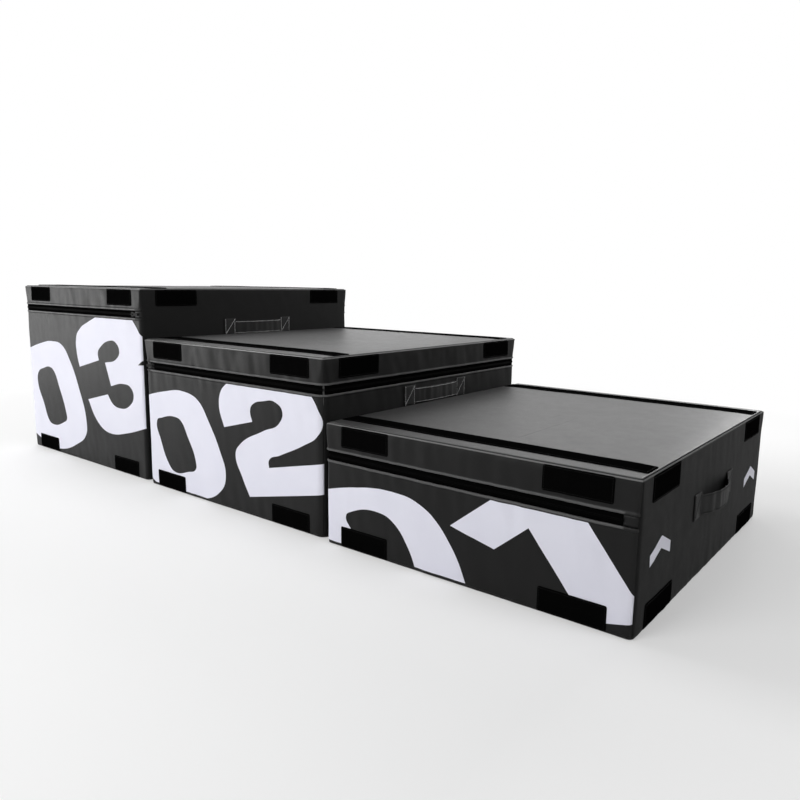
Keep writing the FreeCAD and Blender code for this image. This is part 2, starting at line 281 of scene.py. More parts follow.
# The foam blocks
# A block of firm closed-cell foam fills each cover and carries the jump. It is cut square with eased edges,
# lies loose in its cover and is seen only when the lid is open.
FOAM_INSET = 0.0055
FOAM_EASE = 0.006
FOAM_FOOT = 0.0035
FOAM_TOP_GAP = 0.0042
FOAM_FOOT_RING = 0.15
FOAM_TOP_RING = 0.05
EASE_ANGLES = [math.radians(angle) for angle in (0, 22.5, 45, 67.5, 90)]


def placed(name, data):
    """An object at the origin that holds a mesh, a curve, a lamp or the camera."""
    made = bpy.data.objects.new(name, data)
    bpy.context.scene.collection.objects.link(made)
    return made


def finished_piece(name, points, faces, material):
    """A mesh object at the origin, with its faces shaded smooth."""
    mesh = bpy.data.meshes.new(name)
    mesh.from_pydata(points, [], faces)
    mesh.polygons.foreach_set("use_smooth", [True] * len(mesh.polygons))
    mesh.materials.append(material)
    mesh.validate()
    return placed(name, mesh)


def drawn_ring(box, rows):
    """The whole outline drawn along a profile that starts and ends at the middle, and is closed there."""
    picks = range(len(box.plan.side))
    points = [point for row in rows for point in box.surface(picks, *row)]
    wide, tall = len(picks), len(rows)
    faces = [(j * wide + i, j * wide + (i + 1) % wide, (j + 1) * wide + (i + 1) % wide, (j + 1) * wide + i)
             for j in range(tall - 1) for i in range(wide)]
    faces.append(list(reversed(range(wide))))
    faces.append([(tall - 1) * wide + i for i in range(wide)])
    return points, faces


class Value:
    """A shader value that takes part in Python sums: each operation adds a Math node."""

    def __init__(self, finish, socket):
        self.finish = finish
        self.socket = socket

    def maths(self, operation, first, second):
        return self.finish.node("ShaderNodeMath", {"operation": operation}, {0: first, 1: second})

    def __add__(self, other):
        return self.maths("ADD", self, other)

    def __radd__(self, other):
        return self.maths("ADD", other, self)

    def __sub__(self, other):
        return self.maths("SUBTRACT", self, other)

    def __rsub__(self, other):
        return self.maths("SUBTRACT", other, self)

    def __mul__(self, other):
        return self.maths("MULTIPLY", self, other)

    def __rmul__(self, other):
        return self.maths("MULTIPLY", other, self)

    def __abs__(self):
        return self.maths("ABSOLUTE", self, 0.0)


class Finish:
    """One material: its shader, with constants on its own sockets, and the nodes that vary it."""

    def __init__(self, name, constants):
        self.material = bpy.data.materials.new(name)
        self.material.use_nodes = True
        self.tree = self.material.node_tree
        self.shader = self.tree.nodes["Principled BSDF"]
        self.feed(self.shader, constants)
        self.place = self.node("ShaderNodeTexCoord", output="Object")

    def node(self, kind, settings=None, inputs=None, output=0):
        """Any node: its settings are set first, then the values or links of its sockets."""
        made = self.tree.nodes.new(kind)
        for key, value in (settings or {}).items():
            setattr(made, key, value)
        self.feed(made, inputs or {})
        return Value(self, made.outputs[output])

    def feed(self, made, inputs):
        for key, value in inputs.items():
            if isinstance(value, Value):
                self.tree.links.new(value.socket, made.inputs[key])
            else:
                made.inputs[key].default_value = value

    def cloud(self, scale, detail=2.0, roughness=0.5):
        return self.node("ShaderNodeTexNoise", None, {"Vector": self.place, "Scale": scale, "Detail": detail,
                                                      "Roughness": roughness}, "Fac")

    def cells(self, scale):
        return self.node("ShaderNodeTexVoronoi", None, {"Vector": self.place, "Scale": scale}, "Distance")

    def mixed(self, share, first, second):
        return self.node("ShaderNodeMix", {"data_type": "RGBA"}, {0: share, 6: first, 7: second}, 2)

    def ramp(self, value, start, end):
        """From 0 where the value is at its start to 1 where it is at its end."""
        return self.node("ShaderNodeMapRange", {"interpolation_type": "SMOOTHSTEP"},
                         {"Value": value, "From Min": start, "From Max": end})

    def relief(self, height, depth, strength=1.0):
        return self.node("ShaderNodeBump", None, {"Height": height, "Distance": depth, "Strength": strength})


def rgb(value):
    """A grey of one lightness, as a colour."""
    return (value, value, value, 1)


foam = Finish("charcoal_foam", {"Specular IOR Level": 0.2})
foam_pores = foam.cells(420)
foam_tone = foam.cloud(14, 4)
foam.feed(foam.shader, {
    "Base Color": foam.mixed(foam_tone, rgb(0.045), rgb(0.075)),
    "Roughness": 0.85 + 0.12 * foam_pores,
    "Normal": foam.relief(foam_pores + 0.5 * foam.cloud(900), 0.0012, 0.7),
})


def middle_inset(box):
    """How far in an outline shrinks before it closes on the box's middle line."""
    return 0.001 - min(box.plan.half_x, box.plan.half_y)


for box in boxes:
    foot, top = FOAM_FOOT, box.height - FOAM_TOP_GAP
    edge = -FOAM_INSET - FOAM_EASE
    rows = [(middle_inset(box), foot, 0, 0), (edge - FOAM_FOOT_RING, foot, 0, 0)]
    rows += [(edge + FOAM_EASE * math.sin(angle), foot + FOAM_EASE * (1 - math.cos(angle)), 0, 0)
             for angle in EASE_ANGLES]
    rows += [(edge + FOAM_EASE * math.cos(angle), top - FOAM_EASE * (1 - math.sin(angle)), 0, 0)
             for angle in EASE_ANGLES]
    rows += [(edge - FOAM_TOP_RING * step, top, 0, 0) for step in range(1, 7)]
    rows += [(middle_inset(box), top, 0, 0)]
    block = finished_piece(f"{box.name}_foam_block", *drawn_ring(box, rows), foam.material)
    box.block = block
    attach(block, box.name)
    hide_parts(f"{box.name}_foam_core")

# The base panels
# The base is a coarse coated fabric, tougher than the walls because it slides on the floor. It is turned up a
# little all round and sewn to the foot of the walls.
base_cloth = Finish("base_cloth", {"Specular IOR Level": 0.25})
base_rib = base_cloth.cells(260)
base_cloth.feed(base_cloth.shader, {
    "Base Color": base_cloth.mixed(base_cloth.cloud(30, 3), rgb(0.006), rgb(0.014)),
    "Roughness": 0.6 + 0.2 * base_rib,
    "Normal": base_cloth.relief(base_rib, 0.0006, 0.6),
})
BASE_UNDERSIDE = 0.0006
BASE_INSIDE = 0.0031
UNDERSIDE_RINGS = (-0.2, -0.05, -0.012)
INSIDE_RINGS = (-0.008, -0.05, -0.2)
TURNED_UP_ROWS = [(-0.006, 0.0007, 0, 0), (-0.0026, 0.0012, 0.4, 0), (-0.0011, 0.0024, 0.5, 0),
                  (-0.0008, 0.0038, 0.6, 0), (-0.0013, 0.0050, 0.6, 0), (-0.0027, 0.0054, 0.4, 0),
                  (-0.0036, 0.0046, 0.3, 0)]
for box in boxes:
    rows = [(out, BASE_UNDERSIDE, 0, 0) for out in (middle_inset(box), *UNDERSIDE_RINGS)]
    rows += TURNED_UP_ROWS
    rows += [(out, BASE_INSIDE, 0, 0) for out in (*INSIDE_RINGS, middle_inset(box))]
    base = finished_piece(f"{box.name}_base_cover", *drawn_ring(box, rows), base_cloth.material)
    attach(base, box.name)
    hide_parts(f"{box.name}_base_panel")

# The walls
# Black coated vinyl with a fine grain and a satin sheen. Front, back and zipped side end in a turned hem
# under the zip; the hinge side goes up over the top edge. Seams run down the upright corners.
VINYL_THICK = 0.0028
WALL_FOOT = 0.0056
EDGE_ROLL = 0.003
EDGE_SINK = 0.0022
TURNED_EDGE = 0.02
ROW_STEP = 0.010
BACK_STEP = 0.06
PLAIN_ABOVE_FOOT = 0.010
PLAIN_BELOW_HEM = 0.016
PLAIN_BELOW_EDGE = 0.006
BACK_ABOVE_FOOT = 0.006
BACK_BELOW_HEAD = 0.008
CREASE_HALF_WIDTH = 0.003
CREASE_DEPTH = 0.0008


def cover_vinyl(name, dark, light, roughness, specular, crease=None):
    """Coated vinyl: fine grain, faint scuffs, a tone that drifts over the panel, and a painted highlight on
    hems and edges.

    A crease that the vinyl was folded on is its place in X and where it starts and ends in Y; along it the
    vinyl is dented and also painted darker, as painted shade.
    """
    vinyl = Finish(name, {"Specular IOR Level": specular})
    painted_highlight = vinyl.node("ShaderNodeAttribute", {"attribute_name": "painted_highlight"}, output="Fac")
    grain = vinyl.cells(760)
    fine = vinyl.cloud(1500, 1)
    drift = vinyl.cloud(5, 3)
    scuffs = vinyl.cloud(38, 6, 0.7)
    colour = vinyl.mixed(0.65 * drift + 0.35 * scuffs, rgb(dark), rgb(light))
    normal = vinyl.relief(grain + 0.4 * fine, 0.00022, 0.5)
    if crease:
        x, start, end = crease
        across = vinyl.node("ShaderNodeSeparateXYZ", None, {0: vinyl.place}, "X") - x
        along = vinyl.node("ShaderNodeSeparateXYZ", None, {0: vinyl.place}, "Y")
        crease_and_painted_shade = (vinyl.ramp(abs(across), CREASE_HALF_WIDTH, 0)
                   * vinyl.ramp(along, start, start + 0.04) * vinyl.ramp(along, end, end - 0.2))
        # Along the crease the colour is painted darker: painted shade. The bump below dents it.
        colour = vinyl.mixed(0.5 * crease_and_painted_shade, colour, rgb(0.3 * dark))
        normal = vinyl.node("ShaderNodeBump", None,
                            {"Height": -1 * crease_and_painted_shade, "Distance": CREASE_DEPTH, "Normal": normal})
    vinyl.feed(vinyl.shader, {
        # The marked hems and edges are painted lighter here, a painted highlight, and are also made smoother.
        "Base Color": vinyl.mixed(painted_highlight, colour, rgb(0.18)),
        "Roughness": roughness + 0.16 * (scuffs - 0.5) + 0.06 * grain - 0.25 * painted_highlight,
        "Normal": normal,
    })
    return vinyl.material


front_vinyl = cover_vinyl("front_vinyl", 0.005, 0.009, 0.40, 0.15)
side_vinyl = cover_vinyl("side_vinyl", 0.005, 0.009, 0.72, 0.12)
WALL_SEAM_ROWS = [(-0.0026, 0.0016, 0.6, 0), (-0.0013, 0.0003, 0.6, 0), (-0.0004, 0.0010, 0.8, 0),
                  (0.0, 0.0035, 1, 0)]
HEM_ROWS = [(0.0001, -0.0100, 1, 0), (-0.0003, -0.0068, 0.95, 0), (0.0010, -0.0056, 0.92, 0),
            (0.0019, -0.0042, 0.88, 0), (0.0021, -0.0026, 0.84, 0), (0.0015, -0.0010, 0.8, 0),
            (0.0002, -0.0001, 0.75, 0), (-0.0014, -0.0002, 0.7, 0), (-0.0026, -0.0024, 0.7, 0)]
GROOVE_ROWS = [(-0.0040, -0.0006, 0.3, 0), (-0.0048, -0.0022, 0.2, 0), (-0.0049, -0.0034, 0.2, 0),
               (-0.0042, -0.0042, 0.5, 0), (-0.0031, -0.0062, 0.8, 0)]
TAB_FACE = -0.0011
TAB_BACK = -0.0024
TAB_TUCK = 0.001
# How strongly the hems, the top edges, the hinge side's edge and the hems past the zip's end get the painted
# highlight.
HEM_HIGHLIGHT = (0, 0, 0.2, 0.5, 0.5, 0.5, 0.35, 0.1, 0)
EDGE_HIGHLIGHT = (0, 0.6, 1, 1, 0.2)
HINGE_EDGE_HIGHLIGHT = 0.4
PAST_ZIP_HIGHLIGHT = 0.1
# a weave starts above the tucked rows of the foot or hem, and ends with the outer rows of a hem or an edge
TUCKED_ROWS = 2
OUTER_HEM_ROWS = 5
OUTER_EDGE_ROWS = 3


def drawn_strip(box, picks, rows):
    """A stretch of the outline drawn round a closed profile of (out, z, push out, push up) rows."""
    points = [point for row in rows for point in box.surface(picks, *row)]
    wide, tall = len(picks), len(rows)
    faces = [(j * wide + i, j * wide + i + 1, (j + 1) % tall * wide + i + 1, (j + 1) % tall * wide + i)
             for j in range(tall) for i in range(wide - 1)]
    faces.append([j * wide for j in range(tall)])
    faces.append([j * wide + wide - 1 for j in reversed(range(tall))])
    return points, faces


def straight_rows(foot, head, out, step):
    """Rows of a plain stretch of panel, evenly spaced between its ends."""
    count = max(1, round(abs(head - foot) / step))
    return [(out, foot + (head - foot) * i / count, 1, 0) for i in range(count + 1)]


def lifted(rows, z):
    return [(out, z + rise, push, push_up) for out, rise, push, push_up in rows]


def top_edge_rows(height):
    """The rolled top edge, and the groove of the seam where the top panel is let in."""
    crest = height - EDGE_SINK
    rows = [(EDGE_ROLL * (math.cos(angle) - 1), crest - EDGE_ROLL * (1 - math.sin(angle)), 0.6, 0)
            for angle in EASE_ANGLES]
    return rows + lifted(GROOVE_ROWS, crest)


def paint_highlight(piece, marks):
    """Marks rows of a panel, at its hems and edges, for a painted highlight: lighter colour and lower
    roughness.

    Each mark is its first row, the shares of the rows from there, and the shares of the columns.
    """
    painted_highlight = np.zeros(len(piece.data.vertices))
    for first, shares, columns in marks:
        wide = len(columns)
        painted_highlight[first * wide:(first + len(shares)) * wide] = np.outer(shares, columns).ravel()
    piece.data.attributes.new("painted_highlight", "FLOAT", "POINT").data.foreach_set("value", painted_highlight)


def beside_zip(box, picks):
    """The share of each column of a hem that lies along the zip, and not past its end."""
    zipped = set(box.zip_stations())
    return [1.0 if pick in zipped else PAST_ZIP_HIGHLIGHT for pick in picks]


def panel_width(box, face):
    ring = box.plan.ring(0)
    picks = box.panel_stations(face)
    return sum(math.dist(ring[a], ring[b]) for a, b in zip(picks, picks[1:]))


def face_way(face):
    """1 where the stations of a face run up its axis, and -1 where they run down it."""
    return 1 if face in ("front", "right") else -1


class WallWeave:
    """The threads of a wall as made: places along it, heights, and the points where they cross."""

    def __init__(self, box, face, picks, rows, points, first, last):
        way = face_way(face)
        axis = face_axis(face)
        self.places = box.plan.ring(0)[list(picks)][::way, axis] + box.centre[axis]
        self.spokes = box.plan.spokes[list(picks)][::way]
        self.heights = np.array([row[1] for row in rows[first:last]])
        wide = len(picks)
        self.points = np.array(points[first * wide:last * wide]).reshape(last - first, wide, 3)[:, ::way]

    def spot(self, place, height, out):
        """The point on the wall's own facets at a place and height, moved out."""
        i = min(max(np.searchsorted(self.places, place) - 1, 0), len(self.places) - 2)
        j = min(max(np.searchsorted(self.heights, height) - 1, 0), len(self.heights) - 2)
        s = (place - self.places[i]) / (self.places[i + 1] - self.places[i])
        t = (height - self.heights[j]) / (self.heights[j + 1] - self.heights[j])
        low = self.points[j, i] * (1 - s) + self.points[j, i + 1] * s
        high = self.points[j + 1, i] * (1 - s) + self.points[j + 1, i + 1] * s
        spoke = self.spokes[i] * (1 - s) + self.spokes[i + 1] * s
        return Vector(low * (1 - t) + high * t) + out * Vector((*spoke, 0))


def joined(parts):
    """Several meshes of points and faces as one."""
    points, faces = [], []
    for part_points, part_faces in parts:
        faces += [[index + len(points) for index in corners] for corners in part_faces]
        points += part_points
    return points, faces


def zip_tab(box, face):
    """The plain stretch of cover past the zip's end, on the front or the back."""
    index = FACES.index(face)
    mark = box.plan.marks[index]
    if (face == "front") == (box.hinge_way > 0):
        picks = box.plan.between(mark, box.plan.seams[index])
    else:
        picks = box.plan.between(box.plan.seams[index - 1], mark)
    foot = box.zip_foot - TAB_TUCK
    tall = box.zip_top - box.zip_foot + TAB_TUCK
    rows = [(TAB_BACK, foot, 0.7, 0)]
    rows += [(TAB_FACE, foot + step * tall / 4, 0.8, 0) for step in range(5)]
    rows += [(TAB_BACK, box.zip_top, 0.7, 0)]
    return drawn_strip(box, picks, rows)


def wall_vinyl(face):
    return front_vinyl if face in ("front", "back") else side_vinyl


for box in boxes:
    for face in FACES:
        full_height = face == box.hinge_side
        head = box.height - EDGE_ROLL if full_height else box.zip_foot
        plain_head = head - (PLAIN_BELOW_EDGE if full_height else PLAIN_BELOW_HEM)
        rows = lifted(WALL_SEAM_ROWS, WALL_FOOT)
        rows += straight_rows(WALL_FOOT + PLAIN_ABOVE_FOOT, plain_head, 0, ROW_STEP)
        hem_start = len(rows)
        rows += top_edge_rows(box.height) if full_height else lifted(HEM_ROWS, head)
        rows += straight_rows(head - BACK_BELOW_HEAD, WALL_FOOT + BACK_ABOVE_FOOT, -VINYL_THICK, BACK_STEP)
        picks = box.panel_stations(face)
        points, faces = drawn_strip(box, picks, rows)
        box.weaves[face] = WallWeave(box, face, picks, rows, points, TUCKED_ROWS, hem_start + OUTER_HEM_ROWS)
        if face in ("front", "back"):
            points, faces = joined([(points, faces), zip_tab(box, face)])
        wall = finished_piece(f"{box.name}_{face}_wall", points, faces, wall_vinyl(face))
        if full_height:
            paint_highlight(wall, [(hem_start, EDGE_HIGHLIGHT, [HINGE_EDGE_HIGHLIGHT] * len(picks))])
        else:
            paint_highlight(wall, [(hem_start, HEM_HIGHLIGHT, beside_zip(box, picks))])
        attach(wall, box.name)
        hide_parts(f"{box.name}_{face}_panel")
        panel_width(box, face)
        head - WALL_FOOT + TURNED_EDGE

# The lids
# Three bands of the walls' vinyl hang above the zip and roll over the top edge to a sunk seam. The top panel
# is sewn in there; on the hinge side it is sewn straight to the wall, so the lid folds back on that seam.
# The tops' vinyl is the walls' vinyl painted lighter (0.028 to 0.044 against 0.005 to 0.009): painted light
# from above.
top_vinyl_painted_lighter = cover_vinyl("top_vinyl_painted_lighter", 0.028, 0.044, 0.44, 0.3)
LOW_BOX_CREASE = (0.836, -0.33, 0.06)
creased_vinyl = cover_vinyl("creased_vinyl", 0.028, 0.044, 0.44, 0.3, LOW_BOX_CREASE)
BAND_ABOVE_HEM = 0.013
BAND_BELOW_EDGE = 0.003
BAND_BACK_ABOVE_HEM = 0.008
BAND_BACK_BELOW_TOP = 0.012
TOP_INSIDE = 0.0030
TOP_INSIDE_RINGS = (-0.3, -0.2, -0.1, -0.05, -0.025)
TOP_OUTER_RING = -0.026
TOP_INNER_GAP = 0.008
TOP_STEP = 0.012
TOP_RIM = [(-0.0080, -0.0060), (-0.0066, -0.0058), (-0.0058, -0.0050), (-0.0055, -0.0034),
           (-0.0055, -0.0010), (-0.0058, -0.0003), (-0.0068, 0.0), (-0.0100, 0.0001), (-0.0190, 0.0)]


def hung(rows, z):
    """A hem's rows turned upside down, from a lower edge up."""
    return [(out, z - rise, push, push_up) for out, rise, push, push_up in reversed(rows)]


for box in boxes:
    height = box.height
    for face in ("front", "back", box.zipped_side):
        rows = hung(HEM_ROWS, box.zip_top)
        rows += straight_rows(box.zip_top + BAND_ABOVE_HEM, height - EDGE_ZONE - BAND_BELOW_EDGE, 0, ROW_STEP)
        edge_start = len(rows)
        rows += top_edge_rows(height)
        rows += straight_rows(height - BAND_BACK_BELOW_TOP, box.zip_top + BAND_BACK_ABOVE_HEM, -VINYL_THICK,
                              BACK_STEP)
        picks = box.panel_stations(face)
        points, faces = drawn_strip(box, picks, rows)
        box.weaves[f"{face}_lid"] = WallWeave(box, face, picks, rows, points, TUCKED_ROWS,
                                              edge_start + OUTER_EDGE_ROWS)
        band = finished_piece(f"{box.name}_{face}_lid_band", points, faces, wall_vinyl(face))
        paint_highlight(band, [(0, HEM_HIGHLIGHT[::-1], beside_zip(box, picks)),
                   (edge_start, EDGE_HIGHLIGHT, [1.0] * len(picks))])
        box.ride_lid(band)
        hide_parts(f"{box.name}_{face}_band")
        panel_width(box, face)
    inner = middle_inset(box)
    rows = [(out, height - TOP_INSIDE, 0, 1) for out in (inner, *TOP_INSIDE_RINGS)]
    rows += [(out, height + rise, 0, 0.5) for out, rise in TOP_RIM]
    reach = TOP_OUTER_RING
    while reach > inner + TOP_INNER_GAP:
        rows.append((reach, height, 0, 1))
        reach -= TOP_STEP
    rows.append((inner, height, 0, 1))
    top = finished_piece(f"{box.name}_top_cover", *drawn_ring(box, rows),
                         creased_vinyl if box.number == "01" else top_vinyl_painted_lighter)
    box.ride_lid(top)
    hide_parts(f"{box.name}_top_panel")

# The hook and loop tapes
# Two long loop strips lie on each top and two hook strips on each base, and pads of the same tape are sewn
# round the foot and the top of the walls. They are woven nylon with a dense dull pile and a heat-cut edge.
TAPE_CORNER = 0.004
TAPE_CORNER_STEPS = (0.25, SEAM, 0.75)
TAPE_STEP = 0.009
TAPE_RINGS = (-0.004, -0.009, -0.015, -0.022, -0.03)


def pile_tape(name, lightness, scale, depth):
    tape = Finish(name, {"Specular IOR Level": 0.0})
    tufts = tape.cloud(scale, 3, 0.7)
    tape.feed(tape.shader, {
        "Base Color": tape.mixed(tufts, rgb(lightness), rgb(3 * lightness)),
        "Roughness": 0.88 + 0.1 * tufts,
        "Normal": tape.relief(tufts + 0.5 * tape.cells(0.6 * scale), depth, 0.8),
    })
    return tape.material


loop_tape = pile_tape("loop_tape", 0.0012, 1300, 0.0006)
hook_tape = pile_tape("hook_tape", 0.002, 700, 0.0008)


def solids(node):
    """The lowest and highest corners of each separate solid of a CAD node."""
    copy = bmesh.new()
    copy.from_mesh(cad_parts[node].data)
    bmesh.ops.remove_doubles(copy, verts=copy.verts, dist=1e-5)
    left = set(copy.verts)
    found = []
    while left:
        island, edge = set(), [left.pop()]
        while edge:
            vert = edge.pop()
            island.add(vert)
            near = {link.other_vert(vert) for link in vert.link_edges} & left
            left -= near
            edge += near
        corners = [vert.co.copy() for vert in island]
        found.append((Vector(map(min, *corners)), Vector(map(max, *corners))))
    copy.free()
    return sorted(found, key=lambda corners: tuple(corners[0]))


def sewn_pad(place, half_wide, half_tall, thick):
    """A flat piece of tape with rounded corners; place puts its (across, up, off) on the cover."""
    outline = Outline(half_wide, half_tall, TAPE_CORNER, TAPE_STEP, TAPE_CORNER_STEPS)
    inner = 0.0006 - min(half_wide, half_tall)
    rows = [(inner, 0.0001), (0.0, 0.0001), (0.0003, 0.5 * thick), (-0.0002, 0.85 * thick), (-0.0010, thick)]
    rows += [(out, thick) for out in TAPE_RINGS if out > inner]
    rows += [(inner, thick)]
    wide = len(outline.side)
    points = [place(across, up, off) for out, off in rows for across, up in outline.ring(out)]
    faces = [(j * wide + i, j * wide + (i + 1) % wide, (j + 1) * wide + (i + 1) % wide, (j + 1) * wide + i)
             for j in range(len(rows) - 1) for i in range(wide)]
    faces += [corners[::-1] for corners in outline.closing_faces(0)]
    faces += outline.closing_faces((len(rows) - 1) * wide)
    return points, faces


def tape_pads(box, node):
    """Each pad of a node: its face, its place along and up it, its half sizes, and its thickness."""
    for low, high in solids(node):
        middle, half = (low + high) / 2, (high - low) / 2
        if half.x > half.y:
            face = "front" if middle.y < box.centre.y else "back"
            yield face, middle.x, middle.z, half.x, half.z, 2 * half.y
        else:
            face = "left" if middle.x < box.centre.x else "right"
            yield face, middle.y, middle.z, half.y, half.z, 2 * half.x


def wall_pads(box, node):
    """The pads of a node, laid on the folds of the walls that carry them."""
    parts = []
    for face, along, up, half_wide, half_tall, thick in tape_pads(box, node):
        def place(across, rise, off):
            return tuple(box.spot(face, along + face_way(face) * across, up + rise, off))

        parts.append(sewn_pad(place, half_wide, half_tall, thick))
    return joined(parts)


def top_strips(box):
    """The long strips on the lid, laid on the crown of the top panel."""
    parts = []
    for low, high in solids(f"{box.name}_top_strips"):
        middle, half = (low + high) / 2, (high - low) / 2

        def place(across, rise, off):
            return tuple(box.top_spot(middle.x + across, middle.y + rise, off))

        parts.append(sewn_pad(place, half.x, half.y, 2 * half.z))
    return joined(parts)


def base_strips(box):
    """The long strips under the base, which face down."""
    parts = []
    for low, high in solids(f"{box.name}_base_strips"):
        middle, half = (low + high) / 2, (high - low) / 2

        def place(across, rise, off):
            return (middle.x + across, middle.y - rise, high.z - off)

        parts.append(sewn_pad(place, half.x, half.y, 2 * half.z))
    return joined(parts)


for box in boxes:
    strips = finished_piece(f"{box.name}_top_loop_strips", *top_strips(box), loop_tape)
    box.ride_lid(strips)
    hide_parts(f"{box.name}_top_strips")
    strips = finished_piece(f"{box.name}_base_hook_strips", *base_strips(box), hook_tape)
    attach(strips, box.name)
    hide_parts(f"{box.name}_base_strips")
    pads = finished_piece(f"{box.name}_foot_pads", *wall_pads(box, f"{box.name}_body_patches"), loop_tape)
    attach(pads, box.name)
    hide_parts(f"{box.name}_body_patches")
    pads = finished_piece(f"{box.name}_lid_pads", *wall_pads(box, f"{box.name}_lid_patches"), loop_tape)
    box.ride_lid(pads)
    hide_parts(f"{box.name}_lid_patches")

# The zips
# A coil zip runs round three sides between the two hems: woven tapes, nylon teeth, and a metal slider with
# a pull on its crown. The tapes are sewn in behind the hems, so only their middle shows.
zip_weave = Finish("zip_weave", {"Specular IOR Level": 0.0})
zip_twill = zip_weave.node("ShaderNodeTexWave", {"bands_direction": "DIAGONAL"},
                           {"Vector": zip_weave.place, "Scale": 260, "Distortion": 0.4}, "Fac")
zip_weave.feed(zip_weave.shader, {
    "Base Color": zip_weave.mixed(zip_twill, rgb(0.0012), rgb(0.0030)),
    "Roughness": 0.85 + 0.1 * zip_twill,
    "Normal": zip_weave.relief(zip_twill, 0.0003, 0.6),
})
nylon = Finish("black_nylon", {"Specular IOR Level": 0.03})
nylon.feed(nylon.shader, {
    "Base Color": nylon.mixed(nylon.cloud(400), rgb(0.001), rgb(0.003)),
    "Roughness": 0.6 + 0.2 * nylon.cloud(900),
})
slider_metal = Finish("black_lacquer", {"Specular IOR Level": 0.04})
slider_wear = slider_metal.cloud(700, 4, 0.7)
slider_metal.feed(slider_metal.shader, {
    "Base Color": slider_metal.mixed(slider_wear, rgb(0.004), rgb(0.012)),
    "Roughness": 0.35 + 0.2 * slider_wear,
    "Normal": slider_metal.relief(slider_metal.cloud(1500), 0.00008, 0.5),
})
TOOTH_PITCH = 0.0026
TOOTH_SIZE = (0.0013, 0.0016, 0.0034)
TOOTH_LINE = {"lower": -0.0014, "upper": 0.0016}
TOOTH_OUT = 0.0004
FLAT_ANGLE = math.radians(2)
SHARP_ANGLE = math.radians(40)


def line_object(name, lines):
    """A curve object of straight runs through the given points."""
    curve = bpy.data.curves.new(name, "CURVE")
    curve.dimensions = "3D"
    for line in lines:
        spline = curve.splines.new("POLY")
        spline.points.add(len(line) - 1)
        for point, place in zip(spline.points, line):
            point.co = (*place, 1)
    return placed(name, curve)


def repeat_tree(name, shape):
    """Geometry nodes that set one small shape after another along a line."""
    tree = bpy.data.node_groups.new(name, "GeometryNodeTree")
    sockets = tree.interface
    sockets.new_socket("Line", in_out="INPUT", socket_type="NodeSocketGeometry")
    for size in ("Pitch", "Length", "Depth", "Height"):
        sockets.new_socket(size, in_out="INPUT", socket_type="NodeSocketFloat")
    sockets.new_socket("Finish", in_out="INPUT", socket_type="NodeSocketMaterial")
    sockets.new_socket("Pieces", in_out="OUTPUT", socket_type="NodeSocketGeometry")
    nodes, links = tree.nodes, tree.links
    given = nodes.new("NodeGroupInput").outputs
    spaced = nodes.new("GeometryNodeResampleCurve")
    spaced.mode = "LENGTH"
    dots = nodes.new("GeometryNodeCurveToPoints")
    dots.mode = "EVALUATED"
    aimed = nodes.new("FunctionNodeAlignRotationToVector")
    aimed.axis = "X"
    single = nodes.new(shape)
    if shape == "GeometryNodeMeshUVSphere":
        single.inputs["Segments"].default_value = 6
        single.inputs["Rings"].default_value = 4
        single.inputs["Radius"].default_value = 0.5
    sized = nodes.new("GeometryNodeTransform")
    extent = nodes.new("ShaderNodeCombineXYZ")
    spread = nodes.new("GeometryNodeInstanceOnPoints")
    real = nodes.new("GeometryNodeRealizeInstances")
    dressed = nodes.new("GeometryNodeSetMaterial")
    result = nodes.new("NodeGroupOutput")
    for output, socket in (
            (given["Line"], spaced.inputs["Curve"]),
            (given["Pitch"], spaced.inputs["Length"]),
            (spaced.outputs["Curve"], dots.inputs["Curve"]),
            (dots.outputs["Tangent"], aimed.inputs["Vector"]),
            (given["Length"], extent.inputs["X"]),
            (given["Depth"], extent.inputs["Y"]),
            (given["Height"], extent.inputs["Z"]),
            (single.outputs["Mesh"], sized.inputs["Geometry"]),
            (extent.outputs["Vector"], sized.inputs["Scale"]),
            (dots.outputs["Points"], spread.inputs["Points"]),
            (sized.outputs["Geometry"], spread.inputs["Instance"]),
            (aimed.outputs["Rotation"], spread.inputs["Rotation"]),
            (spread.outputs["Instances"], real.inputs["Geometry"]),
            (real.outputs["Geometry"], dressed.inputs["Geometry"]),
            (given["Finish"], dressed.inputs["Material"]),
            (dressed.outputs["Geometry"], result.inputs["Pieces"])):
        links.new(output, socket)
    return tree


def repeated(name, tree, lines, pitch, size, material):
    """The shape of a tree set along lines, as one plain mesh object."""
    run = line_object(f"{name}_line", lines)
    modifier = run.modifiers.new("repeat", "NODES")
    modifier.node_group = tree
    values = {"Pitch": pitch, "Length": size[0], "Depth": size[1], "Height": size[2], "Finish": material}
    for item in tree.interface.items_tree:
        if item.name in values:
            modifier[item.identifier] = values[item.name]
    graph = bpy.context.evaluated_depsgraph_get()
    mesh = bpy.data.meshes.new_from_object(run.evaluated_get(graph))
    mesh.name = name
    bpy.data.objects.remove(run)
    return placed(name, mesh)


def eased_copy(node, name, ease, material):
    """A CAD node's shape with its edges rounded over."""
    copy = bmesh.new()
    copy.from_mesh(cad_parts[node].data)
    bmesh.ops.remove_doubles(copy, verts=copy.verts, dist=1e-6)
    bmesh.ops.dissolve_limit(copy, angle_limit=FLAT_ANGLE, verts=copy.verts, edges=copy.edges)
    sharp = [edge for edge in copy.edges if edge.calc_face_angle(0) > SHARP_ANGLE]
    bmesh.ops.bevel(copy, geom=sharp, offset=ease, segments=2, affect="EDGES", clamp_overlap=True)
    bmesh.ops.triangulate(copy, faces=[face for face in copy.faces if len(face.verts) > 4])
    mesh = bpy.data.meshes.new(name)
    copy.to_mesh(mesh)
    copy.free()
    mesh.materials.append(material)
    return placed(name, mesh)


